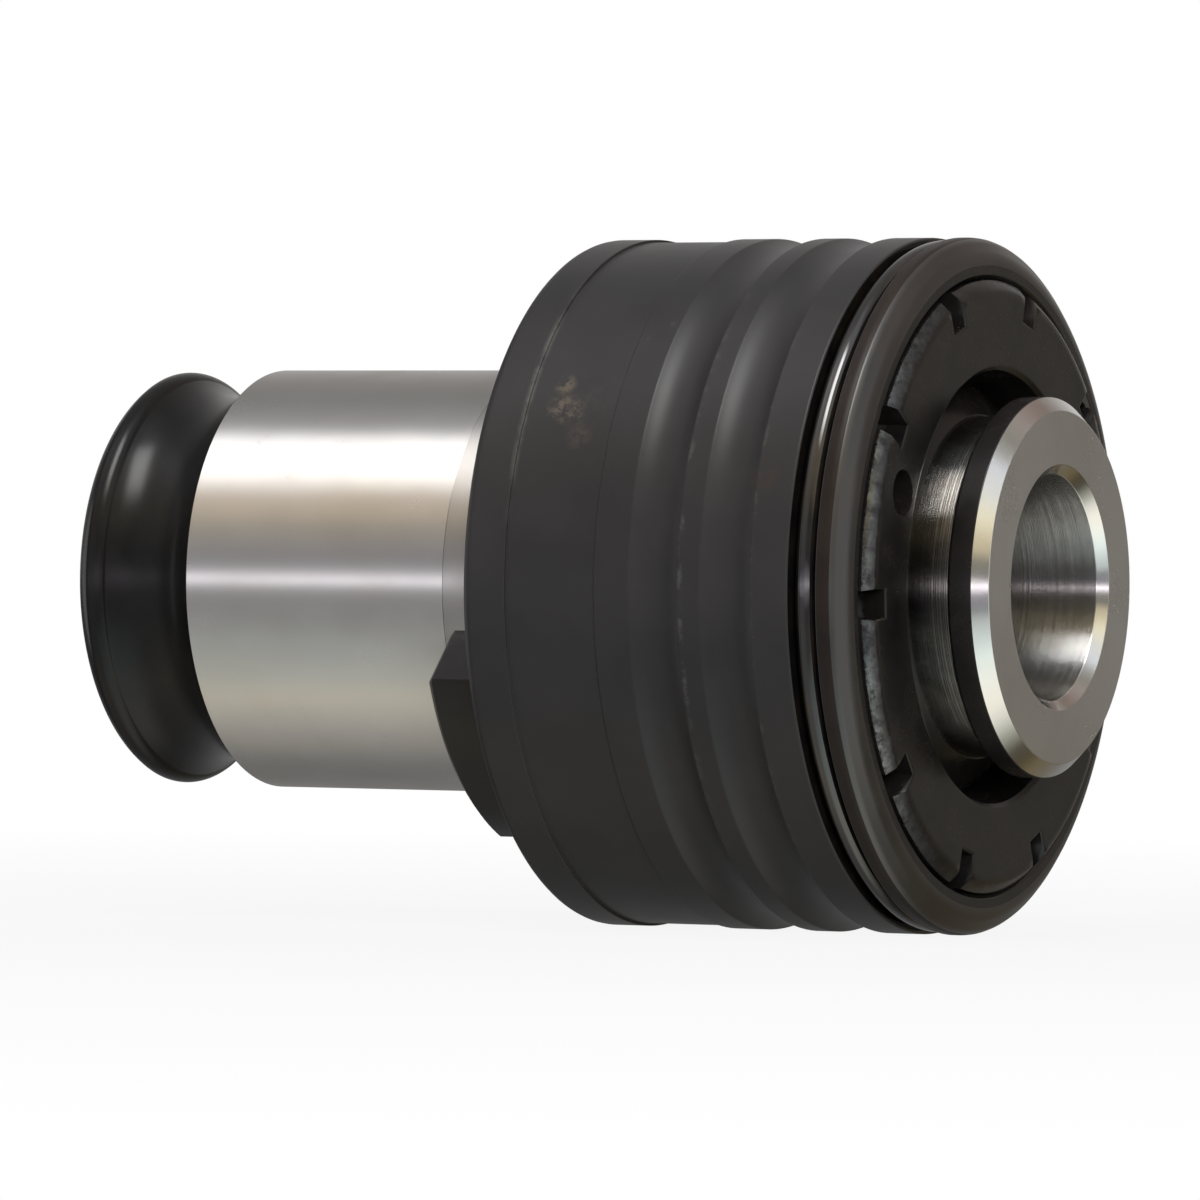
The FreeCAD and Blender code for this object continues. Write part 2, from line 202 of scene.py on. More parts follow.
# A level camera at a distance from its aim, turned about its own line of sight by the roll.
def putCamera(c):
    yaw, roll = math.radians(c["azimuth"]), math.radians(c["roll"])
    right = Vector((math.cos(yaw), math.sin(yaw), 0))
    up = Vector((0, 0, 1))
    back = Vector((math.sin(yaw), -math.cos(yaw), 0))
    tilted = right * math.cos(roll) + up * math.sin(roll)
    raised = up * math.cos(roll) - right * math.sin(roll)
    data = bpy.data.cameras.new("camera")
    data.lens = c["focal"]
    data.sensor_width = c["sensor"]
    data.clip_start = c["near"] * mm
    obj = bpy.data.objects.new("camera", data)
    place = Matrix((tilted, raised, back)).transposed().to_4x4()
    place.translation = (Vector(c["aim"]) + back * c["distance"]) * mm
    obj.matrix_world = place
    bpy.context.scene.collection.objects.link(obj)
    bpy.context.scene.camera = obj


putCamera(camera)
print("camera set")


# A shader node with its settings; each input takes a value or the output of another node.
def add(tree, kind, inputs=None, **settings):
    node = tree.nodes.new("ShaderNode" + kind)
    for key, value in settings.items():
        setattr(node, key, value)
    for key, value in (inputs or {}).items():
        if isinstance(value, bpy.types.NodeSocket):
            tree.links.new(value, node.inputs[key])
        else:
            node.inputs[key].default_value = value
    return node


def maths(tree, operation, a, b=0.0):
    return add(tree, "Math", {0: a, 1: b}, operation=operation).outputs[0]


# Carries low to outLow and high to outHigh, in a straight line between them and level beyond.
def spread(tree, value, low, high, outLow=0.0, outHigh=1.0):
    return add(tree, "MapRange", {0: value, 1: low, 2: high, 3: outLow, 4: outHigh}).outputs[0]


# A Mix node takes its colours at sockets 6 and 7, and plain numbers at 2 and 3.
def blendColours(tree, factor, a, b):
    mix = add(tree, "Mix", {0: factor}, data_type="RGBA", clamp_factor=True)
    for index, value in ((6, a), (7, b)):
        if isinstance(value, bpy.types.NodeSocket):
            tree.links.new(value, mix.inputs[index])
        else:
            mix.inputs[index].default_value = (*value, 1)
    return mix.outputs[2]


def startMaterial(name):
    material = bpy.data.materials.new(name)
    material.use_nodes = True
    tree = material.node_tree
    shader = tree.nodes["Principled BSDF"]
    place = add(tree, "TexCoord").outputs["Object"]
    return material, tree, shader, place


def noise(tree, place, scale, detail=2.0, rough=0.5):
    inputs = {"Vector": place, "Scale": scale, "Detail": detail, "Roughness": rough}
    return add(tree, "TexNoise", inputs).outputs[0]


# Fine rings left by the lathe: noise that changes along X only.
def ringNoise(tree, place, scale):
    x = add(tree, "SeparateXYZ", {0: place}).outputs[0]
    return add(tree, "TexNoise", {"W": x, "Scale": scale, "Detail": 3.0}, noise_dimensions="1D").outputs[0]


# Bump on the shader, laid over the bump that lies under it.
def bumped(tree, shader, height, strength, distance, under=None):
    inputs = {"Height": height, "Strength": strength, "Distance": distance}
    if under is not None:
        inputs["Normal"] = under
    normal = add(tree, "Bump", inputs).outputs[0]
    tree.links.new(normal, shader.inputs["Normal"])
    return normal


# Oxide finishes: colours, roughness range, strength of the reflection and depth of the fine marks.
oxideLooks = {
    "matteOxide": {
        "dark": (0.0190, 0.0181, 0.0190), "worn": (0.0255, 0.0239, 0.0243), "rough": (0.36, 0.43),
        "ior": 1.5, "specular": 0.25,
        "grain": 5200.0, "grainDepth": 0.16, "rings": 2600.0, "ringDepth": 0.05, "cloud": 140.0,
    },
    "rimOxide": {
        "dark": (0.0110, 0.0096, 0.0092), "worn": (0.0180, 0.0150, 0.0136), "rough": (0.31, 0.39),
        "ior": 1.68, "specular": 0.50,
        "grain": 4200.0, "grainDepth": 0.14, "rings": 2600.0, "ringDepth": 0.04, "cloud": 220.0,
    },
    "brownOxide": {
        "dark": (0.0120, 0.0090, 0.0080), "worn": (0.0200, 0.0150, 0.0125), "rough": (0.38, 0.46),
        "ior": 1.5, "specular": 0.14,
        "grain": 4200.0, "grainDepth": 0.14, "rings": 2600.0, "ringDepth": 0.04, "cloud": 220.0,
    },
    "beadOxide": {
        "dark": (0.0060, 0.0057, 0.0060), "worn": (0.0100, 0.0092, 0.0088), "rough": (0.20, 0.27),
        "ior": 1.5, "specular": 0.20,
        "grain": 2600.0, "grainDepth": 0.06, "rings": 1800.0, "ringDepth": 0.04, "cloud": 160.0,
    },
    "oiledOxide": {
        "dark": (0.0060, 0.0054, 0.0056), "worn": (0.0130, 0.0104, 0.0092), "rough": (0.22, 0.30),
        "ior": 1.5, "specular": 0.30,
        "grain": 3200.0, "grainDepth": 0.04, "rings": 2200.0, "ringDepth": 0.02, "cloud": 260.0,
    },
    "wetOxide": {
        "dark": (0.0040, 0.0040, 0.0045), "worn": (0.0120, 0.0090, 0.0070), "rough": (0.04, 0.09),
        "ior": 1.5, "specular": 0.42,
        "grain": 1500.0, "grainDepth": 0.16, "rings": 1400.0, "ringDepth": 0.03, "cloud": 500.0,
    },
    "wireOxide": {
        "dark": (0.0050, 0.0048, 0.0052), "worn": (0.0140, 0.0100, 0.0080), "rough": (0.04, 0.08),
        "ior": 1.6, "specular": 0.60,
        "grain": 1800.0, "grainDepth": 0.10, "rings": 3400.0, "ringDepth": 1.00, "cloud": 500.0,
    },
}


# What all oxide finishes share: detail and roughness of each noise, the cuts that make patches of it, the shares of
# a mark's size that it covers fully, and the heights of the fine marks.
oxideMarks = {
    "cloudNoise": (4.0, 0.6), "lineNoise": (4.0, 0.7), "scuffNoise": (5.0, 0.75), "sparkleNoise": (3.0, 0.7),
    "tone": (0.35, 0.72), "shine": (0.3, 0.7), "ringHeight": 0.02, "grainHeight": 0.012,
    "lineCore": 0.2, "lineCut": 0.16, "lineReach": 0.4, "scuffCore": 0.3, "scuffCut": 0.12,
}


# One ring line: full at the line's x, none a width away, broken up by noise and held to one side of the piece.
def wearAndHighlightLine(tree, place, x, turn, line):
    marks = oxideMarks
    away = maths(tree, "ABSOLUTE", maths(tree, "SUBTRACT", x, line["x"] * mm))
    mask = spread(tree, away, line["width"] * mm, marks["lineCore"] * line["width"] * mm)
    broken = noise(tree, place, line["scale"], *marks["lineNoise"])
    mask = maths(tree, "MULTIPLY", mask, spread(tree, broken, line["from"], line["from"] + marks["lineCut"]))
    away = maths(tree, "ABSOLUTE", maths(tree, "SUBTRACT", turn, math.radians(line["turn"])))
    full = math.radians(marks["lineReach"] * line["reach"])
    return maths(tree, "MULTIPLY", mask, spread(tree, away, math.radians(line["reach"]), full))


# A scuff: a round patch about a point, broken up by noise.
def scuffPatch(tree, place, scuff):
    marks = oxideMarks
    point = tuple(v * mm for v in scuff["at"])
    away = add(tree, "VectorMath", {0: place, 1: point}, operation="DISTANCE").outputs["Value"]
    patch = spread(tree, away, scuff["size"] * mm, marks["scuffCore"] * scuff["size"] * mm)
    broken = noise(tree, place, scuff["scale"], *marks["scuffNoise"])
    return maths(tree, "MULTIPLY", patch, spread(tree, broken, scuff["from"], scuff["from"] + marks["scuffCut"]))


# Angle about the X axis: 0 along -Y, 90 degrees up.
def turnAngle(tree, parts):
    return maths(tree, "ARCTAN2", parts[2], maths(tree, "MULTIPLY", parts[1], -1.0))


# Bare steel round a bevel, with ragged borders. The place across it is x less the bevel's start plus the outer
# radius less r: 0 at the bevel's outer edge, and twice the bevel's depth at its inner edge.
def bareRing(tree, place, parts, turn, ring):
    marks = oxideMarks
    square = [maths(tree, "MULTIPLY", parts[i], parts[i]) for i in (1, 2)]
    r = maths(tree, "SQRT", maths(tree, "ADD", *square))
    across = maths(tree, "SUBTRACT", maths(tree, "ADD", parts[0], (ring["r"] - ring["start"]) * mm), r)
    ragged = ring["ragged"] * mm
    rag = noise(tree, place, ring["scale"], *marks["lineNoise"])
    across = maths(tree, "ADD", across, spread(tree, rag, *ring["ragCut"], -ragged, ragged))
    outer = spread(tree, across, 0.0, ring["border"] * mm)
    inner = spread(tree, across, ring["across"] * mm, (ring["across"] - ring["fade"]) * mm)
    broken = noise(tree, place, ring["patches"], *marks["scuffNoise"])
    left = spread(tree, broken, ring["from"], ring["from"] + ring["cut"])
    turn = maths(tree, "ABSOLUTE", turn)
    full = math.radians(ring["fullReach"] * ring["reach"])
    onSide = spread(tree, turn, math.radians(ring["reach"]), full, ring["elsewhere"], 1.0)
    return maths(tree, "MULTIPLY", maths(tree, "MULTIPLY", outer, inner), maths(tree, "MULTIPLY", left, onSide))


def makeBlackOxide(name, look, lines=(), scuffs=(), ring=None):
    material, tree, shader, place = startMaterial(name)
    marks = oxideMarks
    cloud = noise(tree, place, look["cloud"], *marks["cloudNoise"])
    colour = blendColours(tree, spread(tree, cloud, *marks["tone"]), look["dark"], look["worn"])
    rough = spread(tree, cloud, *marks["shine"], *look["rough"])
    parts = add(tree, "SeparateXYZ", {0: place}).outputs
    turn = turnAngle(tree, parts)
    # Lines blended into the colour: lighter marks round the piece, on the housing's first line partly a painted
    # highlight.
    for line in lines:
        colour = blendColours(tree, wearAndHighlightLine(tree, place, parts[0], turn, line), colour, line["colour"])
    for scuff in scuffs:
        patch = maths(tree, "MULTIPLY", scuffPatch(tree, place, scuff), scuff["strength"])
        colour = blendColours(tree, patch, colour, scuff["colour"])
    if ring:
        bare = bareRing(tree, place, parts, turn, ring)
        tone = spread(tree, noise(tree, place, ring["toneScale"], *marks["lineNoise"]), *ring["tone"])
        colour = blendColours(tree, bare, colour, blendColours(tree, tone, ring["dull"], ring["bright"]))
        rough = maths(tree, "ADD", rough, maths(tree, "MULTIPLY", bare, ring["rough"] - look["rough"][1]))
        tree.links.new(bare, shader.inputs["Metallic"])
        sparkle = noise(tree, place, ring["sparkle"], *marks["sparkleNoise"])
        sparkle = maths(tree, "MULTIPLY", sparkle, bare)
    tree.links.new(colour, shader.inputs["Base Color"])
    tree.links.new(rough, shader.inputs["Roughness"])
    shader.inputs["IOR"].default_value = look["ior"]
    shader.inputs["Specular IOR Level"].default_value = look["specular"]
    rings = ringNoise(tree, place, look["rings"])
    rings = bumped(tree, shader, rings, look["ringDepth"], marks["ringHeight"] * mm)
    grain = noise(tree, place, look["grain"])
    grain = bumped(tree, shader, grain, look["grainDepth"], marks["grainHeight"] * mm, rings)
    if ring:
        bumped(tree, shader, sparkle, ring["sparkleDepth"], ring["sparkleHeight"] * mm, grain)
    return material


# Steel finishes: "along" is how far turning and grinding marks stretch reflections along the axis, and
# "ringHeight" the height of the rings in millimetres.
steelLooks = {
    "ground": {
        "colour": (0.60, 0.588, 0.575), "tint": (0.57, 0.55, 0.52), "rough": (0.27, 0.33), "along": 1.0,
        "rings": 9000.0, "ringDepth": 0.035, "ringHeight": 0.03, "grain": 5200.0, "grainDepth": 0.06,
    },
    "relief": {
        "colour": (0.47, 0.455, 0.44), "tint": (0.42, 0.39, 0.36), "rough": (0.32, 0.42), "along": 0.9,
        "rings": 7000.0, "ringDepth": 0.05, "ringHeight": 0.03, "grain": 4200.0, "grainDepth": 0.08,
    },
    "neck": {
        "colour": (0.42, 0.41, 0.395), "tint": (0.24, 0.21, 0.18), "rough": (0.18, 0.24), "along": 1.0,
        "rings": 7000.0, "ringDepth": 1.0, "ringHeight": 0.028, "grain": 4200.0, "grainDepth": 0.12,
    },
    "satin": {
        "colour": (0.64, 0.635, 0.63), "tint": (0.58, 0.570, 0.56), "rough": (0.26, 0.32), "along": 0.5,
        "rings": 6000.0, "ringDepth": 0.03, "ringHeight": 0.03, "grain": 4200.0, "grainDepth": 0.05,
    },
    "bevel": {
        "colour": (0.66, 0.65, 0.63), "tint": (0.60, 0.585, 0.56), "rough": (0.12, 0.17), "along": 0.5,
        "rings": 6000.0, "ringDepth": 0.02, "ringHeight": 0.03, "grain": 4200.0, "grainDepth": 0.05,
    },
    "bore": {
        "colour": (0.56, 0.55, 0.54), "tint": (0.40, 0.37, 0.33), "rough": (0.19, 0.25), "along": 1.0,
        "rings": 24000.0, "ringDepth": 1.0, "ringHeight": 0.026, "grain": 4600.0, "grainDepth": 0.12,
    },
    "ball": {
        "colour": (0.66, 0.66, 0.66), "tint": (0.62, 0.60, 0.56), "rough": (0.06, 0.12),
        "grain": 2500.0, "grainDepth": 0.03,
    },
    "race": {
        "colour": (0.50, 0.49, 0.48), "tint": (0.42, 0.39, 0.36), "rough": (0.22, 0.34), "along": 0.5,
        "rings": 3000.0, "ringDepth": 0.07, "ringHeight": 0.03, "grain": 3500.0, "grainDepth": 0.10,
    },
    "spring": {
        "colour": (0.34, 0.335, 0.33), "tint": (0.22, 0.20, 0.18), "rough": (0.24, 0.40),
        "grain": 4200.0, "grainDepth": 0.14,
    },
    "bronze": {
        "colour": (0.52, 0.34, 0.17), "tint": (0.40, 0.24, 0.12), "rough": (0.28, 0.42), "along": 0.5,
        "rings": 3500.0, "ringDepth": 0.12, "ringHeight": 0.03, "grain": 4000.0, "grainDepth": 0.12,
    },
}


# What all steel finishes share: broad clouds in the tone and smaller patches in the shine.
steelMarks = {
    "cloud": 120.0, "tone": (0.42, 0.75), "patches": 260.0, "shine": (0.3, 0.7), "noise": (4.0, 0.6),
    "grainDetail": 3.0, "grainHeight": 0.02, "quarterTurn": 0.25,
}


def makeSteel(name, look):
    material, tree, shader, place = startMaterial(name)
    marks = steelMarks
    cloud = spread(tree, noise(tree, place, marks["cloud"], *marks["noise"]), *marks["tone"])
    tree.links.new(blendColours(tree, cloud, look["colour"], look["tint"]), shader.inputs["Base Color"])
    patches = noise(tree, place, marks["patches"], *marks["noise"])
    tree.links.new(spread(tree, patches, *marks["shine"], *look["rough"]), shader.inputs["Roughness"])
    shader.inputs["Metallic"].default_value = 1.0
    if "along" in look:
        shader.inputs["Anisotropic"].default_value = look["along"]
        shader.inputs["Anisotropic Rotation"].default_value = marks["quarterTurn"]  # from round the axis to along it
        tangent = add(tree, "Tangent", direction_type="RADIAL", axis="X").outputs[0]
        tree.links.new(tangent, shader.inputs["Tangent"])
    rings = None
    if "rings" in look:
        rings = ringNoise(tree, place, look["rings"])
        rings = bumped(tree, shader, rings, look["ringDepth"], look["ringHeight"] * mm)
    grain = noise(tree, place, look["grain"], marks["grainDetail"])
    bumped(tree, shader, grain, look["grainDepth"], marks["grainHeight"] * mm, rings)
    return material


steel = {key: makeSteel(key if key == "bronze" else key + "Steel", look) for key, look in steelLooks.items()}

# Marks on the housing: lighter lines round it, the first partly worn and partly a painted highlight on the upper side
# of the band's step edge, scuffs and specks on its side, and the bare edge of the nut.
wearAndHighlightLines = [
    # The first line is partly wear and partly a painted highlight along the band's step edge, held to the upper side.
    {"x": 4.85, "width": 0.34, "turn": 34.0, "reach": 26.0,
     "scale": 420.0, "from": 0.40, "colour": (0.066, 0.062, 0.058)},
    {"x": 11.95, "width": 0.12, "turn": 20.0, "reach": 60.0,
     "scale": 500.0, "from": 0.50, "colour": (0.034, 0.031, 0.029)},
    {"x": 18.60, "width": 0.30, "turn": 8.0, "reach": 70.0,
     "scale": 900.0, "from": 0.50, "colour": (0.052, 0.050, 0.048)},
    {"x": 24.10, "width": 0.26, "turn": 0.0, "reach": 75.0,
     "scale": 1100.0, "from": 0.52, "colour": (0.046, 0.043, 0.041)},
]
bodyScuffs = [
    {"at": around(24.8, 34.0, 7.4), "size": 1.0, "scale": 1500.0, "from": 0.44,
     "strength": 0.65, "colour": (0.120, 0.098, 0.066)},
    {"at": around(24.8, 29.6, 7.7), "size": 1.5, "scale": 1300.0, "from": 0.46,
     "strength": 0.65, "colour": (0.125, 0.100, 0.076)},
    {"at": around(24.8, 28.6, 8.9), "size": 1.1, "scale": 1300.0, "from": 0.48,
     "strength": 0.50, "colour": (0.110, 0.090, 0.070)},
    {"at": around(24.8, 24.4, 9.4), "size": 1.2, "scale": 1100.0, "from": 0.42,
     "strength": 0.36, "colour": (0.082, 0.064, 0.052)},
    {"at": around(24.8, 31.0, 9.0), "size": 3.2, "scale": 900.0, "from": 0.50,
     "strength": 0.25, "colour": (0.060, 0.050, 0.042)},
    {"at": around(24.8, 47.0, 14.0), "size": 0.35, "scale": 800.0, "from": 0.10,
     "strength": 0.36, "colour": (0.120, 0.105, 0.095)},
    {"at": around(24.8, 43.5, 12.6), "size": 0.30, "scale": 800.0, "from": 0.10,
     "strength": 0.36, "colour": (0.110, 0.100, 0.095)},
    {"at": around(24.7, 17.5, 24.6), "size": 1.3, "scale": 700.0, "from": 0.42,
     "strength": 0.43, "colour": (0.060, 0.034, 0.020)},
]
nutWear = {
    "start": 31.15, "r": 21.95, "across": 1.6, "fade": 1.1, "border": 0.10,
    "ragged": 0.26, "scale": 1500.0, "ragCut": (0.3, 0.7), "patches": 1050.0, "from": 0.34, "cut": 0.10,
    "reach": 62.0, "fullReach": 0.6, "elsewhere": 0.15,
    "sparkle": 2600.0, "sparkleDepth": 0.6, "sparkleHeight": 0.03, "rough": 0.18,
    "toneScale": 900.0, "tone": (0.36, 0.62), "dull": (0.042, 0.042, 0.043), "bright": (0.135, 0.138, 0.140),
}

oxide = {}
for key, look in oxideLooks.items():
    marked = key == "matteOxide"
    oxide[key] = makeBlackOxide(key, look, wearAndHighlightLines if marked else (), bodyScuffs if marked else ())
oxide["wornOxide"] = makeBlackOxide("wornOxide", oxideLooks["oiledOxide"], ring=nutWear)
print("materials made:", len(steel) + len(oxide))


housing = {
    "columns": 216, "back": -36.0, "bore": 12.0, "mouth": 0.6, "beadEnd": 13.4, "beadBack": (-35.14, 14.82),
    "shoulder": (-34.5, 15.3), "crest": (-33.95, 15.32), "flank": (-33.2, 14.75), "grooveMid": (-29.6, 13.56),
    "ground": (-26.0, 15.5), "relief": (-4.95, 15.46), "backPoints": 9, "crestPoints": 7, "groovePoints": 15,
    "flange": 21.6, "cup": 25.0, "taperEnd": 1.7, "band": (4.9, 11.9, 24.8),
    "grips": ((14.6, 18.4), (20.1, 24.0)), "gripDepth": 0.55, "gripEdge": 0.35, "gripPoints": 9,
    "wireGroove": (26.9, 29.0, 23.3), "front": 31.1, "rimFrom": 30.12, "rimBack": 1.0, "rimIn": 1.4, "rimRound": 1.8,
    "cupBore": 22.0, "mouthEdge": 0.35, "floor": 4.5,
}


def makeHousing(h):
    back, cup, front, bore, cupBore = (h[key] for key in ("back", "cup", "front", "bore", "cupBore"))
    (groundX, groundR), (reliefX, reliefR) = h["ground"], h["relief"]
    start, shoulder, flank = (back, h["beadEnd"]), h["shoulder"], h["flank"]
    corners = [(back, bore + h["mouth"], 0.1), (*start, 0.12)]
    corners += arcCorners(start, h["beadBack"], shoulder, h["backPoints"]) + [(*shoulder, flowing)]
    corners += arcCorners(shoulder, h["crest"], flank, h["crestPoints"]) + [(*flank, flowing)]
    corners += arcCorners(flank, h["grooveMid"], h["ground"], h["groovePoints"])
    corners += [(groundX, groundR, 0.10), (reliefX, groundR, 0.2), (reliefX, reliefR, 0.2), (0, reliefR, 0.3)]
    corners += [(0, h["flange"], 0.3), (h["taperEnd"], cup, 0.8)]
    band0, band1, bandR = h["band"]
    corners += [(band0, cup, 0.06), (band0, bandR, 0.06), (band1, bandR, 0.06), (band1, cup, 0.08)]
    for x0, x1 in h["grips"]:
        first, middle, last = (x0, cup), ((x0 + x1) / 2, cup - h["gripDepth"]), (x1, cup)
        arc = arcCorners(first, middle, last, h["gripPoints"])
        corners += [(*first, h["gripEdge"])] + arc + [(*last, h["gripEdge"])]
    g0, g1, grooveR = h["wireGroove"]
    corners += [(g0, cup, 0.18), (g0, grooveR, 0.2), (g1, grooveR, 0.2), (g1, cup, 0.12)]
    corners += [(front - h["rimBack"], cup, h["rimRound"]), (front, cup - h["rimIn"], h["rimRound"])]
    lip = h["mouthEdge"]
    corners += [(front, cupBore + lip, 0.15), (front - lip, cupBore, 0.15)]
    corners += [(h["floor"], cupBore, 0.4), (h["floor"], bore, 0.2), (back + h["mouth"], bore, 0.15)]
    obj, outline = turned("housingBody", corners, h["columns"])
    looks = {
        "matte": oxide["matteOxide"], "ground": steel["ground"], "relief": steel["relief"],
        "bead": oxide["beadOxide"], "rim": oxide["rimOxide"], "wet": oxide["wetOxide"],
        "oiled": oxide["oiledOxide"], "brown": oxide["brownOxide"],
    }
    x, r = ringMiddles(outline)
    hair, near = 0.02, 0.1  # how far past an edge a ring's middle still counts
    shank = (r > reliefR - hair) & (r < groundR + hair)
    inGroove = (x > g0 - hair) & (x < g1 + hair)
    finishRings(obj, h["columns"], looks, [
        ("bead", (x < groundX + hair) & (r > bore + near)),
        ("ground", (x > groundX + hair) & (x < reliefX) & shank),
        ("relief", (x > reliefX) & (x < -hair) & shank),
        ("brown", (x > g1 + near) & (r > cupBore)),
        ("rim", (x > h["rimFrom"]) & (r > cupBore)),
        ("oiled", (x > front - hair / 2) & (r > cupBore)),
        ("wet", inGroove & (r < cup - near) & (r > grooveR - near)),
        ("wet", (x > h["floor"] - near) & (r < cupBore + lip)),
    ])
    return obj


lugs = {
    "width": 16.14, "r": 20.0, "foot": 14.8, "back": -4.5, "front": 0.4, "angles": (-45.0, 135.0),
    "edge": 0.4, "corner": 0.2, "outerPoints": 24,
}
nearlyStraight = 0.08  # sine of the turn between two sides


# A closed outline (u, v), turning left, moved in by a distance for each side: each corner slides to where
# its two moved sides meet, and between sides nearly in line it moves along their middle normal.
def movedIn(points, distance):
    d2 = np.broadcast_to(distance, len(points))
    side = np.roll(points, -1, 0) - points
    side = side / np.hypot(*side.T)[:, None]
    n2 = np.stack([side[:, 1], -side[:, 0]], 1)
    n1, d1 = np.roll(n2, 1, 0), np.roll(d2, 1)
    cross = n1[:, 0] * n2[:, 1] - n1[:, 1] * n2[:, 0]
    inLine = np.abs(cross) < nearlyStraight
    safe = np.where(inLine, 1.0, cross)
    corner = np.stack([d2 * n1[:, 1] - d1 * n2[:, 1], d1 * n2[:, 0] - d2 * n1[:, 0]], 1) / safe[:, None]
    middle = -((d1 + d2) / 2 / (1 + (n1 * n2).sum(1)))[:, None] * (n1 + n2)
    return points + np.where(inLine[:, None], middle, corner)


def spun(points, degrees):
    t = math.radians(degrees)
    return points @ np.array([[math.cos(t), math.sin(t)], [-math.sin(t), math.cos(t)]])


# A drive lug: its outline follows a circle outside and has two straight flanks, and it narrows over a bevel at its
# free end.
def makeLug(number, angle, l):
    half, corner = l["width"] / 2, l["corner"]
    v = np.linspace(-half + corner, half - corner, l["outerPoints"])
    outer = np.stack([np.sqrt(l["r"] ** 2 - v ** 2), v], 1)
    sides = np.sqrt(l["r"] ** 2 - half ** 2) - corner
    foot = math.sqrt(l["foot"] ** 2 - half ** 2)
    ring = np.concatenate([[(foot, -half), (sides, -half)], outer, [(sides, half), (foot, half)]])
    rows = []
    for x, inset in ((l["front"], 0.0), (l["back"] + l["edge"], 0.0), (l["back"], l["edge"])):
        u, v = spun(movedIn(ring, inset), angle).T
        rows.append(np.stack([np.full(len(u), x), -u, v], 1))
    n = len(ring)
    obj = putMesh("driveLug" + str(number), np.concatenate(rows), tubeFaces(len(rows), n), angle=creaseAngle)
    obj.data.materials.append(oxide["oiledOxide"])
    return obj


bodyShell = makeHousing(housing)
lugPieces = [makeLug(i + 1, angle, lugs) for i, angle in enumerate(lugs["angles"])]
for piece in [bodyShell] + lugPieces:
    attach(piece, "housing")
    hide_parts("shank_body")
print("housing made")


# "boreAngles": where the notch's floor, its wall and the land end on the bore, as shares of the notch's half angle.
# "edgeRows": back from the face on the lands and in the notches, then in from the side on the lands and in the
# notches, as shares of the bevel and of the small edge.
# "boreRows": back from the face, and out from the bore.
nut = {
    "back": 26.4, "front": 31.9, "r": 21.95, "bore": 15.5, "notches": 10, "notchWidth": 2.0, "notchDepth": 2.5,
    "notchAngle": -3.8, "shoulder": 20.5, "bevel": 0.75, "edge": 0.12, "landPoints": 14,
    "boreAngles": (1.2, 1.9, 2.6),
    "edgeRows": (
        (1.0, 1.0, 0.0, 0.0), (0.13, 0.25, 0.87, 0.75), (0.04, 0.08, 1.12, 1.1), (0.0, 0.0, 1.6, 1.6),
        (0.0, 0.0, 1.72, 2.0),
    ),
    "boreRows": ((0.0, 0.55), (0.0, 0.43), (0.03, 0.30), (0.30, 0.03), (0.43, 0.0)),
    "spanners": 2, "spannerR": 1.65, "spannerPitch": 18.0, "spannerAngle": 21.0, "spannerDepth": 3.6, "wallLean": 0.6,
}
drillPast = 2.0  # how far a drill stands out of the face


# Outline of the nut: between notches its points keep the radius, and a notch has two parallel walls and a flat
# floor. Gives the points (u, v), which of them take the large bevel, and their angles on the bore.
def nutOutline(n):
    half, floorR, step = n["notchWidth"] / 2, n["r"] - n["notchDepth"], 2 * math.pi / n["notches"]
    top = math.asin(half / n["r"])
    t = np.linspace(top, step - top, n["landPoints"])
    land = np.stack([n["r"] * np.cos(t), n["r"] * np.sin(t)], 1)
    notch = np.array([(floorR, -half), (floorR, 0), (floorR, half), (n["shoulder"], half)])
    last = spun(np.array([(n["shoulder"], -half)]), math.degrees(step))
    sector = np.concatenate([notch, land, last])
    large = np.array([False] * 4 + [True] * len(t) + [False])
    ground, wall, ends = (share * top for share in n["boreAngles"])
    t2 = np.linspace(ends, step - ends, n["landPoints"])
    angles = np.concatenate([[-ground, 0.0, ground, wall], t2, [step - wall]])
    starts = n["notchAngle"] + math.degrees(step) * np.arange(n["notches"])
    points = np.concatenate([spun(sector, a) for a in starts])
    return points, np.tile(large, n["notches"]), (np.radians(starts)[:, None] + angles).ravel()


def faceVectors(mesh, kind):
    values = np.zeros(3 * len(mesh.polygons))
    mesh.polygons.foreach_get(kind, values)
    return values.reshape(-1, 3)


# Corners on faces that look straight along +X take exactly that normal, so that the face stays flat in the light.
def flatFace(mesh, straight=0.9995):
    sizes, corners = np.zeros(len(mesh.polygons), int), np.zeros(3 * len(mesh.loops))
    mesh.polygons.foreach_get("loop_total", sizes)
    mesh.corner_normals.foreach_get("vector", corners)
    corners = corners.reshape(-1, 3)
    corners[np.repeat(faceVectors(mesh, "normal")[:, 0] > straight, sizes)] = (1.0, 0.0, 0.0)
    mesh.normals_split_custom_set(corners.tolist())


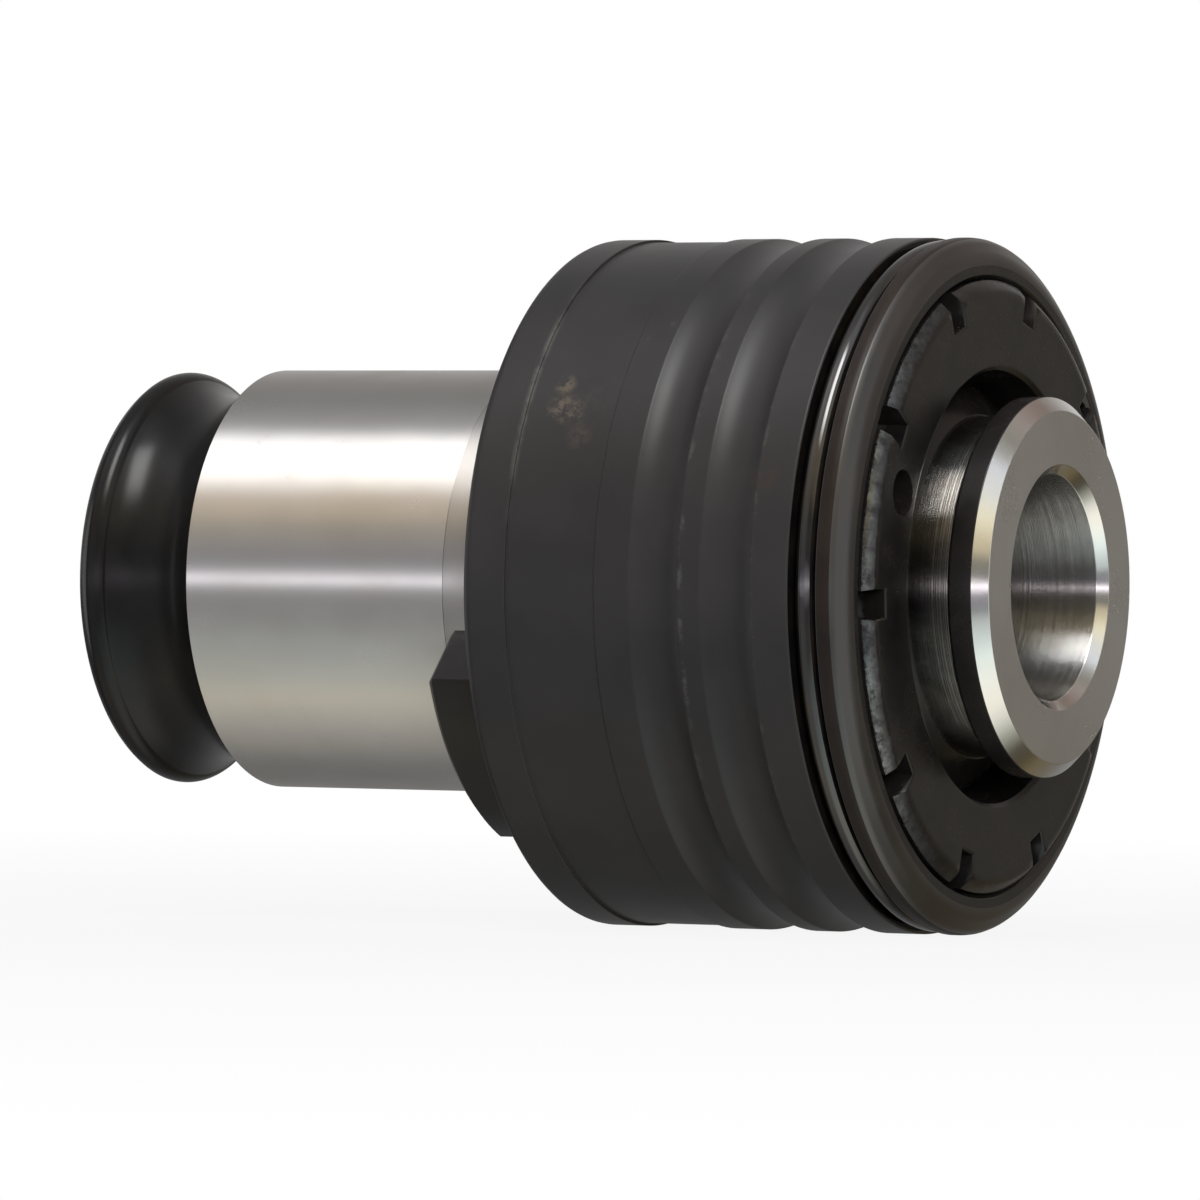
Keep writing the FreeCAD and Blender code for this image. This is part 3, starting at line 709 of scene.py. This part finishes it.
# The nut is rows of that outline: each front row lies some way back from the face and some way in from the edge,
# by one pair of amounts on the lands and a smaller pair in the notches. Faces that look round the axis, the walls
# of the notches, stay black.
def makeNut(n):
    points, large, angles = nutOutline(n)
    landSide = large & np.roll(large, -1)
    front, bevel, edge = n["front"], n["bevel"], n["edge"]
    rows = [np.stack([np.full(len(points), n["back"]), -points[:, 0], points[:, 1]], 1)]
    for landBack, notchBack, landIn, notchIn in n["edgeRows"]:
        inner = movedIn(points, np.where(landSide, landIn * bevel, notchIn * edge))
        back = np.where(large, landBack * bevel, notchBack * edge)
        rows.append(np.stack([front - back, -inner[:, 0], inner[:, 1]], 1))
    for x, r in [(front - back, n["bore"] + out) for back, out in n["boreRows"]] + [(n["back"], n["bore"])]:
        rows.append(np.stack([np.full(len(angles), x), -r * np.cos(angles), r * np.sin(angles)], 1))
    obj = putMesh("slottedNut", np.concatenate(rows), gridQuads(len(rows), len(points)))
    tools = []
    for k in range(n["spanners"]):
        angle = n["spannerAngle"] + 360.0 / n["spanners"] * k
        start, end = (around(n["spannerPitch"], angle, x) for x in (front - n["spannerDepth"], front + drillPast))
        tools.append(drill("drill", start, end, n["spannerR"]))
    cutAway(obj, tools, (oxide["wornOxide"], oxide["oiledOxide"]))
    mesh = obj.data
    lean, centre = faceVectors(mesh, "normal"), faceVectors(mesh, "center")
    sideways = np.abs(lean[:, 1] * centre[:, 2] - lean[:, 2] * centre[:, 1]) / np.hypot(centre[:, 1], centre[:, 2])
    mesh.polygons.foreach_set("material_index", (sideways > n["wallLean"]).astype(np.int32))
    flatFace(mesh)
    return obj


nutPiece = makeNut(nut)
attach(nutPiece, "nut")
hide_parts("adjusting_nut")
print("nut made")


wire = {
    "x": 27.95, "r": 24.07, "thick": 0.75, "gap": 26.0, "points": 300,
    "tip": 176.2, "tipTo": 19.75, "tipPoints": 12, "bend": 0.3, "bendPoints": 3,
}


# A round wire carried along a path: the path's points, its tangents by differences, and a ring about each.
def makeTube(name, path, radius, columns=20, side=(1.0, 0.0, 0.0), crease=40.0):
    along = np.gradient(path, axis=0)
    along /= np.linalg.norm(along, axis=1)[:, None]
    first = np.broadcast_to(np.array(side), along.shape)
    second = np.cross(along, first)
    second /= np.linalg.norm(second, axis=1)[:, None]
    first = np.cross(second, along)
    t = np.linspace(0, 2 * math.pi, columns, endpoint=False)[None, :, None]
    verts = path[:, None] + radius * (np.cos(t) * first[:, None] + np.sin(t) * second[:, None])
    return putMesh(name, verts.reshape(-1, 3), tubeFaces(len(path), columns), angle=crease)


# The ring runs round the groove to its gap. At the other end the tip reaches straight in, and the bend between
# them leaves out the ring's first points.
def makeWire(w):
    t = np.radians(w["tip"] - np.linspace(0, 360.0 - w["gap"], w["points"]))
    ring = np.stack([np.full(len(t), w["x"]), -w["r"] * np.cos(t), w["r"] * np.sin(t)], 1)
    out = np.array(around(1.0, w["tip"]))
    leg = np.array([w["x"], 0, 0]) + out * np.linspace(w["tipTo"], w["r"] - w["bend"], w["tipPoints"])[:, None]
    path = np.concatenate([leg, ring[w["bendPoints"]:]])
    obj = makeTube("springWire", path, w["thick"])
    obj.data.materials.append(oxide["wireOxide"])
    return obj


wirePiece = makeWire(wire)
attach(wirePiece, "housing")
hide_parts("lock_wire")
print("wire made")


sleeve = {
    "columns": 160, "back": 16.5, "split": 24.5, "neck": 12.2, "bore": 8.1, "collar": 13.6, "collarBack": 33.8,
    "collarEdge": 0.3, "nose": 36.7, "noseEdge": 1.0, "bevel": 0.7, "groove": (17.24, 18.08, 11.4),
    "tailColumns": 96, "tailSteps": 3, "ballX": 21.0, "balls": 3,
    "windowR": 2.3, "windowFrom": 8.45, "lipR": 1.5, "lipFrom": 7.1, "windowTo": 13.2,
}


def makeSleeveNose(s):
    split, neck, bore, back, collar, nose, edge, bevel = (
        s[key] for key in ("split", "neck", "bore", "collarBack", "collar", "nose", "noseEdge", "bevel")
    )
    corners = [
        (split, bore, 0.02), (split, neck, 0.02), (back, neck, 0.35),
        (back, collar - s["collarEdge"], 0.1), (back + s["collarEdge"], collar, 0.12),
        (nose - edge, collar, 0.12), (nose, collar - edge, 0.12),
        (nose, bore + bevel, 0.1), (nose - bevel, bore, 0.12),
    ]
    obj, outline = turned("sleeveNose", corners, s["columns"])
    looks = {
        "neck": steel["neck"], "collar": oxide["oiledOxide"], "face": steel["satin"], "bore": steel["bore"],
        "bevel": steel["bevel"],
    }
    x, r = ringMiddles(outline)
    hair, near, fillet = 0.02, 0.05, 0.15  # how far past an edge a ring's middle still counts
    front = x > nose - edge + near
    finishRings(obj, s["columns"], looks, [
        ("collar", r > neck + fillet),
        ("face", front & (r > bore + bevel - hair)),
        ("bore", r < bore + bevel - near),
        ("bevel", front & (r > collar - edge + near)),
        ("bevel", (x > nose - bevel - hair) & (r < bore + bevel - near)),
    ])
    return obj


# The tail holds the ring groove and the windows for the balls, each with a narrower lip at the bore.
def makeSleeveTail(s):
    g0, g1, grooveR = s["groove"]
    corners = [
        (s["back"], s["bore"], 0.05), (s["back"], s["neck"], 0.05), (g0, s["neck"], 0.05), (g0, grooveR, 0.05),
        (g1, grooveR, 0.05), (g1, s["neck"], 0.05), (s["split"], s["neck"], 0.02), (s["split"], s["bore"], 0.02),
    ]
    obj, outline = turned("sleeveTail", corners, s["tailColumns"], s["tailSteps"])
    tools = []
    for k in range(s["balls"]):
        angle = 360.0 * k / s["balls"]
        end = around(s["windowTo"], angle, s["ballX"])
        for kind in ("window", "lip"):
            tools.append(drill("drill", around(s[kind + "From"], angle, s["ballX"]), end, s[kind + "R"]))
    cutAway(obj, tools, (steel["bore"],))
    return obj


for piece in (makeSleeveNose(sleeve), makeSleeveTail(sleeve)):
    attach(piece, "release")
    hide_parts("release_sleeve")
print("sleeve made")


discs = {
    "inner": 15.0, "outer": 21.5, "edge": 0.1, "back": 18.68, "pitch": 1.68, "thick": 1.10, "rise": 0.56, "count": 4,
    "columns": 96, "steps": 3, "anchor": 23.72, "keep": {"clutch_lift": 0.742, "nut_turn": 0.637},
}


# Coned discs in pairs, each leaning the other way from the one before: an outline of four corners turned about X.
def makeDisc(i, d):
    back, thick, edge = d["back"] + i * d["pitch"], d["thick"], d["edge"]
    inner, outer = (d["rise"], 0.0) if i % 2 == 0 else (0.0, d["rise"])
    corners = [
        (back + inner, d["inner"], edge), (back + outer, d["outer"], edge),
        (back + outer + thick, d["outer"], edge), (back + inner + thick, d["inner"], edge),
    ]
    obj, outline = turned("discSpring" + str(i + 1), corners, d["columns"], d["steps"])
    obj.data.materials.append(steel["spring"])
    return obj


# The clutch presses the first three discs together, and the nut the last one.
for i in range(discs["count"]):
    piece = makeDisc(i, discs)
    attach(piece, "housing")
    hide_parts("disc_spring_" + str(i + 1))
    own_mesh(piece)


coil = {
    "from": 11.37, "to": 16.03, "turns": 4, "r": 11.2, "thick": 0.45, "floor": 10.9, "keep": 0.46,
    "turnPoints": 60, "columns": 16,
}


# A helix about X from one end to the other, carried as a round wire.
def makeCoil(c):
    t = np.linspace(0, 1, c["turnPoints"] * c["turns"] + 1)
    turn = 2 * math.pi * c["turns"] * t
    path = np.stack([c["from"] + (c["to"] - c["from"]) * t, -c["r"] * np.cos(turn), c["r"] * np.sin(turn)], 1)
    obj = makeTube("coilSpring", path, c["thick"], c["columns"])
    obj.data.materials.append(steel["spring"])
    return obj


coilPiece = makeCoil(coil)
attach(coilPiece, "holder")
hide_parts("release_spring")
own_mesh(coilPiece)
print("springs made")


# Pieces that keep the shape of the solids.
finishes = {
    "tap_holder": oxide["oiledOxide"], "rear_bush": steel["bronze"], "front_bush": steel["bronze"],
    "pocket_ring": steel["race"], "dowel_pins": steel["race"], "clutch_balls": steel["ball"],
    "pressure_ring": steel["race"], "thrust_cage": steel["bronze"], "thrust_balls": steel["ball"],
    "thrust_race": steel["race"], "spring_washer": steel["spring"], "rear_washer": steel["race"],
    "rear_circlip": steel["spring"], "locking_balls": steel["ball"], "stop_ring": steel["spring"],
}
for name, material in finishes.items():
    data = nodes[name].data
    data.materials.clear()
    data.materials.append(material)
print("finishes given:", len(finishes))


# Brightness that the metal sees at each angle round the X axis: 0 in front, 90 above, 180 behind, -90 below.
tentLeft = {
    -180: (0.27, 0.27, 0.27), -142: (0.27, 0.27, 0.27), -122: (0.23, 0.23, 0.23), -108: (0.28, 0.27, 0.26),
    -96: (0.37, 0.36, 0.34), -86: (0.48, 0.45, 0.40), -76: (0.63, 0.60, 0.51), -66: (0.80, 0.72, 0.57),
    -57: (0.67, 0.65, 0.58), -41: (0.58, 0.58, 0.55), -25: (0.49, 0.495, 0.49), -10: (0.46, 0.45, 0.455),
    -5: (0.52, 0.52, 0.53), -2.5: (1.5, 1.48, 1.56), 0: (1.9, 1.88, 1.96), 2: (1.1, 1.08, 1.14),
    5: (0.50, 0.50, 0.53), 13: (0.44, 0.43, 0.44), 21: (0.57, 0.53, 0.50), 28: (0.62, 0.57, 0.50),
    36: (0.85, 0.73, 0.59), 44: (0.98, 0.84, 0.71), 53: (1.05, 0.95, 0.88), 61: (1.20, 1.14, 1.10),
    70: (1.42, 1.38, 1.38), 80: (1.15, 1.13, 1.18), 86: (0.68, 0.68, 0.71), 90: (0.52, 0.50, 0.51),
    101: (0.39, 0.38, 0.38), 114: (0.34, 0.34, 0.34), 130: (0.35, 0.34, 0.34), 150: (0.55, 0.54, 0.53),
    180: (0.70, 0.69, 0.68),
}
tentRight = {
    -180: (0.25, 0.235, 0.21), -156: (0.17, 0.14, 0.08), -141: (0.20, 0.16, 0.09), -132: (0.11, 0.09, 0.055),
    -123: (0.11, 0.10, 0.08), -112: (0.52, 0.53, 0.46), -103: (1.06, 1.06, 0.98), -94: (1.38, 1.33, 1.18),
    -79: (1.38, 1.40, 1.30), -62: (1.20, 1.36, 1.30), -46: (0.86, 0.97, 0.98), -33: (0.70, 0.77, 0.76),
    -24: (0.30, 0.32, 0.33), -8: (0.26, 0.24, 0.28), -3: (1.3, 1.2, 1.35), 0: (3.2, 3.0, 3.2),
    3: (1.3, 1.2, 1.3), 8: (0.22, 0.22, 0.20), 24: (0.24, 0.23, 0.18), 34: (0.78, 0.68, 0.47),
    46: (0.92, 0.80, 0.56), 61: (1.25, 1.18, 0.90), 79: (1.05, 1.07, 1.05), 94: (1.02, 1.06, 1.14),
    103: (0.52, 0.52, 0.50), 112: (0.33, 0.32, 0.28), 123: (0.43, 0.38, 0.355), 133: (0.36, 0.29, 0.27),
    144: (0.27, 0.215, 0.18), 156: (0.30, 0.26, 0.23), 180: (0.25, 0.235, 0.21),
}
tent = {
    "r": 600.0, "from": -1800.0, "to": 1800.0, "rows": 181, "turnFrom": -120.0, "turnTo": 200.0,
    "angles": ((-180.0, -6.0, 1.5), (-6.0, 6.0, 0.5), (6.0, 181.0, 1.5)),
    "fadeFrom": -420.0, "fadeTo": -800.0, "fadeShare": 0.35,
    "box": {"x": 150.0, "half": 95.0, "edge": 70.0, "angles": (44.0, 56.0, 76.0, 82.0), "glow": 12.0},
}
plainWhite = (1, 1, 1, 1)


# A material with no nodes yet.
def emptyMaterial(name):
    material = bpy.data.materials.new(name)
    material.use_nodes = True
    material.node_tree.nodes.clear()
    return material, material.node_tree


# Brightness of one side at the angles, colour by colour.
def glowAt(side, angles):
    return np.stack([np.interp(angles, list(side), channel) for channel in zip(*side.values())], -1)


# The tent is a tube about the X axis that only reflections see. Its glow goes from the left to the right
# brightness along X and fades far to the left, and a soft box above adds its own, full between its two inner
# angles and inside its half width, and none beyond its outer angles and an edge further out.
def makeTent(t):
    angles = np.concatenate([np.arange(*part) for part in t["angles"]])
    xs = np.linspace(t["from"], t["to"], t["rows"])
    x, a = np.meshgrid(xs, angles, indexing="ij")
    rad = np.radians(a)
    verts = np.stack([x, -t["r"] * np.cos(rad), t["r"] * np.sin(rad)], -1).reshape(-1, 3)
    left, right = glowAt(tentLeft, a), glowAt(tentRight, a)
    share = np.clip((x - t["turnFrom"]) / (t["turnTo"] - t["turnFrom"]), 0, 1)[..., None]
    share = share * share * (3 - 2 * share)
    fade = np.interp(x, [t["fadeTo"], t["fadeFrom"]], [t["fadeShare"], 1.0])[..., None]
    box = t["box"]
    inX = np.clip(1 - (np.abs(x - box["x"]) - box["half"]) / box["edge"], 0, 1)
    inAngle = np.interp(a, box["angles"], [0.0, 1.0, 1.0, 0.0])
    glow = (left * (1 - share) + right * share) * fade + box["glow"] * (inX * inAngle)[..., None]
    glow = glow.reshape(-1, 3)
    obj = putMesh("tent", verts, gridQuads(len(xs), len(angles), False, False))
    colours = obj.data.attributes.new("glow", "FLOAT_COLOR", "POINT")
    colours.data.foreach_set("color", np.column_stack([glow, np.ones(len(glow))]).ravel())
    material, tree = emptyMaterial("tentGlow")
    written = add(tree, "Attribute", attribute_name="glow").outputs["Color"]
    light = add(tree, "Emission", {"Color": written, "Strength": 1.0})
    add(tree, "OutputMaterial", {"Surface": light.outputs[0]})
    material.cycles.emission_sampling = "NONE"
    obj.data.materials.append(material)
    obj.visible_camera = obj.visible_diffuse = obj.visible_shadow = obj.visible_transmission = False


# Pale paper: seen by the camera it is mostly plain white, and wholly so far from the object, so that only the
# shadow shows.
floor = {"z": -25.0, "size": 6000.0, "paper": (0.38, 0.38, 0.38, 1), "near": 50.0, "far": 260.0, "plain": 0.90}


# 1 for rays from the camera, off shiny metal or through glass, and 0 for the light that falls on matt surfaces.
def seenRay(tree):
    path = add(tree, "LightPath").outputs
    seen = maths(tree, "MAXIMUM", path["Is Camera Ray"], path["Is Glossy Ray"])
    return maths(tree, "MAXIMUM", seen, path["Is Transmission Ray"])


def makeFloor(f):
    size, z = f["size"], f["z"]
    obj = putMesh("floor", [(-size, -size, z), (size, -size, z), (size, size, z), (-size, size, z)], [(0, 1, 2, 3)])
    material, tree = emptyMaterial("palePaper")
    paper = add(tree, "BsdfDiffuse", {"Color": f["paper"]})
    white = add(tree, "Emission", {"Color": plainWhite, "Strength": 1.0})
    place = add(tree, "TexCoord").outputs["Object"]
    away = add(tree, "VectorMath", {0: place}, operation="LENGTH").outputs["Value"]
    plain = spread(tree, away, f["near"] * mm, f["far"] * mm, f["plain"], 1.0)
    share = maths(tree, "MULTIPLY", seenRay(tree), plain)
    mix = add(tree, "MixShader", {0: share, 1: paper.outputs[0], 2: white.outputs[0]})
    add(tree, "OutputMaterial", {"Surface": mix.outputs[0]})
    obj.data.materials.append(material)
    obj.visible_glossy = False


# The world is plain white to rays that see it, and a weak light to the rest.
def lightWorld(strength):
    world = bpy.data.worlds.new("world")
    bpy.context.scene.world = world
    world.use_nodes = True
    tree = world.node_tree
    tree.nodes.clear()
    level = add(tree, "Mix", {0: seenRay(tree), 2: strength, 3: 1.0}).outputs[0]
    sky = add(tree, "Background", {"Color": plainWhite, "Strength": level})
    add(tree, "OutputWorld", {"Surface": sky.outputs[0]})


worldLight = 0.15
lamps = {
    "above": {"at": (-40, -230, 700), "size": (520, 420), "watts": 2.9},
    "front": {"at": (560, -760, 260), "size": (420, 420), "watts": 8.2},
    "back": {"at": (-320, 560, 320), "size": (360, 360), "watts": 2.6},
}


# A soft lamp that looks at the origin and isn't seen in the metal.
def putLamp(name, lamp):
    data = bpy.data.lights.new(name, "AREA")
    data.shape = "RECTANGLE"
    data.size, data.size_y = (v * mm for v in lamp["size"])
    data.energy = lamp["watts"]
    obj = bpy.data.objects.new(name, data)
    place = Vector(lamp["at"]) * mm
    obj.matrix_world = Matrix.Translation(place) @ (-place).to_track_quat("-Z", "Y").to_matrix().to_4x4()
    obj.visible_glossy = False
    bpy.context.scene.collection.objects.link(obj)


makeTent(tent)
makeFloor(floor)
lightWorld(worldLight)
for name, lamp in lamps.items():
    putLamp(name, lamp)
print("studio set")

scene = bpy.context.scene
scene.view_settings.view_transform = "Standard"
bpy.context.view_layer.update()
